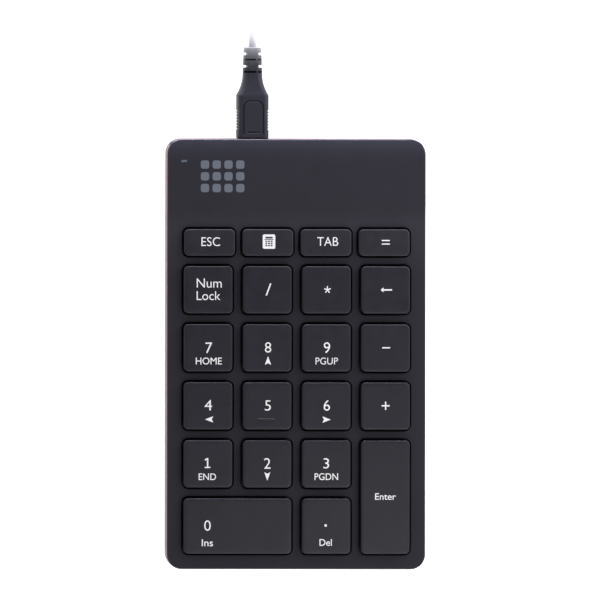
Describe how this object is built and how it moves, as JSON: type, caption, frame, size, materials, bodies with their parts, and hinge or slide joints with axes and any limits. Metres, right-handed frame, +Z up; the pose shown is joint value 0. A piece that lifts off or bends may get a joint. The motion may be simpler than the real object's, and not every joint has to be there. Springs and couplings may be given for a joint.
{
  "type": "numeric keypad",
  "caption": "Slim wired numeric keypad with low plunger keys on rubber domes, a raised rear brow and a cable that plugs into the rear edge.",
  "frame": {"origin": "centre of the case's footprint, at desk level under the rubber feet", "axes": "+X to the right of a person using it, +Y to the rear where the cable leaves, +Z up"},
  "size_m": [0.0832, 0.1744, 0.0114],
  "materials": {
    "case_plastic": "fine matte texture, charcoal",
    "key_plastic": "smooth matte, charcoal, white legends",
    "guide_plastic": "moulded, black",
    "plate_steel": "rolled sheet",
    "membrane_film": "clear polyester film with printed circuit",
    "dome_silicone": "translucent silicone",
    "board_laminate": "green solder mask",
    "chip_plastic": "moulded, black",
    "tinned_metal": "tinned",
    "capacitor_ceramic": "ceramic",
    "strip_rubber": "foam rubber",
    "screw_steel": "zinc plated",
    "black_screw_steel": "blackened",
    "foot_rubber": "matte black",
    "led_white": "white package",
    "light_pipe_clear": "clear acrylic, frosted top",
    "plated_steel": "nickel plated sheet",
    "gold_plate": "gold plated",
    "wire_steel": "drawn spring wire",
    "cable_rubber": "satin moulded, black",
    "braid_metal": "tinned copper braid",
    "insulation_red": "PVC",
    "insulation_white": "PVC",
    "insulation_green": "PVC",
    "insulation_black": "PVC",
    "copper": "bare copper strand"
  },
  "bodies": {
    "case": {"top_cover": "case_plastic", "bottom_cover": "case_plastic", "backing_plate": "plate_steel", "membrane_bottom_sheet": "membrane_film", "membrane_spacer_sheet": "membrane_film", "membrane_top_sheet": "membrane_film", "rubber_domes": "dome_silicone", "circuit_board": "board_laminate", "controller_chip": "chip_plastic", "chip_leads": "tinned_metal", "board_capacitors": "capacitor_ceramic", "tail_clamp_bar": "guide_plastic", "tail_pressure_strip": "strip_rubber", "clamp_screws": "screw_steel", "board_screws": "screw_steel", "case_screws": "black_screw_steel", "rubber_feet": "foot_rubber", "indicator_led": "led_white", "indicator_light_pipe": "light_pipe_clear", "usb_socket_shell": "plated_steel", "usb_socket_insulator": "chip_plastic", "usb_socket_contacts": "gold_plate", "key_guide_frame": "guide_plastic"},
    "key_esc": {"key_esc": "key_plastic"},
    "key_calculator": {"key_calculator": "key_plastic"},
    "key_tab": {"key_tab": "key_plastic"},
    "key_equals": {"key_equals": "key_plastic"},
    "key_num_lock": {"key_num_lock": "key_plastic"},
    "key_divide": {"key_divide": "key_plastic"},
    "key_multiply": {"key_multiply": "key_plastic"},
    "key_backspace": {"key_backspace": "key_plastic"},
    "key_7": {"key_7": "key_plastic"},
    "key_8": {"key_8": "key_plastic"},
    "key_9": {"key_9": "key_plastic"},
    "key_minus": {"key_minus": "key_plastic"},
    "key_4": {"key_4": "key_plastic"},
    "key_5": {"key_5": "key_plastic"},
    "key_6": {"key_6": "key_plastic"},
    "key_plus": {"key_plus": "key_plastic"},
    "key_1": {"key_1": "key_plastic"},
    "key_2": {"key_2": "key_plastic"},
    "key_3": {"key_3": "key_plastic"},
    "key_enter": {"key_enter": "key_plastic"},
    "key_0": {"key_0": "key_plastic"},
    "key_decimal": {"key_decimal": "key_plastic"},
    "stabiliser_wire_0": {"stabiliser_wire_0": "wire_steel"},
    "stabiliser_wire_enter": {"stabiliser_wire_enter": "wire_steel"},
    "cable_plug": {"plug_overmould": "cable_rubber", "plug_shell": "plated_steel", "plug_insulator": "chip_plastic", "plug_contacts": "gold_plate", "cable_jacket": "cable_rubber", "cable_shield": "braid_metal", "wire_red": "insulation_red", "wire_white": "insulation_white", "wire_green": "insulation_green", "wire_black": "insulation_black", "wire_cores": "copper"}
  },
  "joints": [
    {"name": "key_esc_press", "type": "slide", "parent": "case", "child": "key_esc", "axis": [0, 0, -1], "range_m": [0, 0.002], "stiffness_N_per_m": 120, "springref_m": -0.002, "deforming": ["rubber_domes"]},
    {"name": "key_calculator_press", "type": "slide", "parent": "case", "child": "key_calculator", "axis": [0, 0, -1], "range_m": [0, 0.002], "stiffness_N_per_m": 120, "springref_m": -0.002, "deforming": ["rubber_domes"]},
    {"name": "key_tab_press", "type": "slide", "parent": "case", "child": "key_tab", "axis": [0, 0, -1], "range_m": [0, 0.002], "stiffness_N_per_m": 120, "springref_m": -0.002, "deforming": ["rubber_domes"]},
    {"name": "key_equals_press", "type": "slide", "parent": "case", "child": "key_equals", "axis": [0, 0, -1], "range_m": [0, 0.002], "stiffness_N_per_m": 120, "springref_m": -0.002, "deforming": ["rubber_domes"]},
    {"name": "key_num_lock_press", "type": "slide", "parent": "case", "child": "key_num_lock", "axis": [0, 0, -1], "range_m": [0, 0.002], "stiffness_N_per_m": 120, "springref_m": -0.002, "deforming": ["rubber_domes"]},
    {"name": "key_divide_press", "type": "slide", "parent": "case", "child": "key_divide", "axis": [0, 0, -1], "range_m": [0, 0.002], "stiffness_N_per_m": 120, "springref_m": -0.002, "deforming": ["rubber_domes"]},
    {"name": "key_multiply_press", "type": "slide", "parent": "case", "child": "key_multiply", "axis": [0, 0, -1], "range_m": [0, 0.002], "stiffness_N_per_m": 120, "springref_m": -0.002, "deforming": ["rubber_domes"]},
    {"name": "key_backspace_press", "type": "slide", "parent": "case", "child": "key_backspace", "axis": [0, 0, -1], "range_m": [0, 0.002], "stiffness_N_per_m": 120, "springref_m": -0.002, "deforming": ["rubber_domes"]},
    {"name": "key_7_press", "type": "slide", "parent": "case", "child": "key_7", "axis": [0, 0, -1], "range_m": [0, 0.002], "stiffness_N_per_m": 120, "springref_m": -0.002, "deforming": ["rubber_domes"]},
    {"name": "key_8_press", "type": "slide", "parent": "case", "child": "key_8", "axis": [0, 0, -1], "range_m": [0, 0.002], "stiffness_N_per_m": 120, "springref_m": -0.002, "deforming": ["rubber_domes"]},
    {"name": "key_9_press", "type": "slide", "parent": "case", "child": "key_9", "axis": [0, 0, -1], "range_m": [0, 0.002], "stiffness_N_per_m": 120, "springref_m": -0.002, "deforming": ["rubber_domes"]},
    {"name": "key_minus_press", "type": "slide", "parent": "case", "child": "key_minus", "axis": [0, 0, -1], "range_m": [0, 0.002], "stiffness_N_per_m": 120, "springref_m": -0.002, "deforming": ["rubber_domes"]},
    {"name": "key_4_press", "type": "slide", "parent": "case", "child": "key_4", "axis": [0, 0, -1], "range_m": [0, 0.002], "stiffness_N_per_m": 120, "springref_m": -0.002, "deforming": ["rubber_domes"]},
    {"name": "key_5_press", "type": "slide", "parent": "case", "child": "key_5", "axis": [0, 0, -1], "range_m": [0, 0.002], "stiffness_N_per_m": 120, "springref_m": -0.002, "deforming": ["rubber_domes"]},
    {"name": "key_6_press", "type": "slide", "parent": "case", "child": "key_6", "axis": [0, 0, -1], "range_m": [0, 0.002], "stiffness_N_per_m": 120, "springref_m": -0.002, "deforming": ["rubber_domes"]},
    {"name": "key_plus_press", "type": "slide", "parent": "case", "child": "key_plus", "axis": [0, 0, -1], "range_m": [0, 0.002], "stiffness_N_per_m": 120, "springref_m": -0.002, "deforming": ["rubber_domes"]},
    {"name": "key_1_press", "type": "slide", "parent": "case", "child": "key_1", "axis": [0, 0, -1], "range_m": [0, 0.002], "stiffness_N_per_m": 120, "springref_m": -0.002, "deforming": ["rubber_domes"]},
    {"name": "key_2_press", "type": "slide", "parent": "case", "child": "key_2", "axis": [0, 0, -1], "range_m": [0, 0.002], "stiffness_N_per_m": 120, "springref_m": -0.002, "deforming": ["rubber_domes"]},
    {"name": "key_3_press", "type": "slide", "parent": "case", "child": "key_3", "axis": [0, 0, -1], "range_m": [0, 0.002], "stiffness_N_per_m": 120, "springref_m": -0.002, "deforming": ["rubber_domes"]},
    {"name": "key_enter_press", "type": "slide", "parent": "case", "child": "key_enter", "axis": [0, 0, -1], "range_m": [0, 0.002], "stiffness_N_per_m": 120, "springref_m": -0.002, "deforming": ["rubber_domes"]},
    {"name": "key_0_press", "type": "slide", "parent": "case", "child": "key_0", "axis": [0, 0, -1], "range_m": [0, 0.002], "stiffness_N_per_m": 120, "springref_m": -0.002, "deforming": ["rubber_domes"]},
    {"name": "key_decimal_press", "type": "slide", "parent": "case", "child": "key_decimal", "axis": [0, 0, -1], "range_m": [0, 0.002], "stiffness_N_per_m": 120, "springref_m": -0.002, "deforming": ["rubber_domes"]},
    {"name": "stabiliser_0_tip", "type": "hinge", "parent": "case", "child": "stabiliser_wire_0", "pos_m": [-0.019, -0.05095, 0.00675], "axis": [1, 0, 0], "range_deg": [0, 14.6]},
    {"name": "stabiliser_enter_tip", "type": "hinge", "parent": "case", "child": "stabiliser_wire_enter", "pos_m": [0.0243, -0.04581, 0.00675], "axis": [0, 1, 0], "range_deg": [0, 14.6]},
    {"name": "plug_pull", "type": "slide", "parent": "case", "child": "cable_plug", "axis": [0, 1, 0], "range_m": [0, 0.01]}
  ],
  "couplings": [
    {"joint": "stabiliser_0_tip", "follows": "key_0_press", "rad_per_m": 126.56},
    {"joint": "stabiliser_enter_tip", "follows": "key_enter_press", "rad_per_m": 126.56}
  ]
}
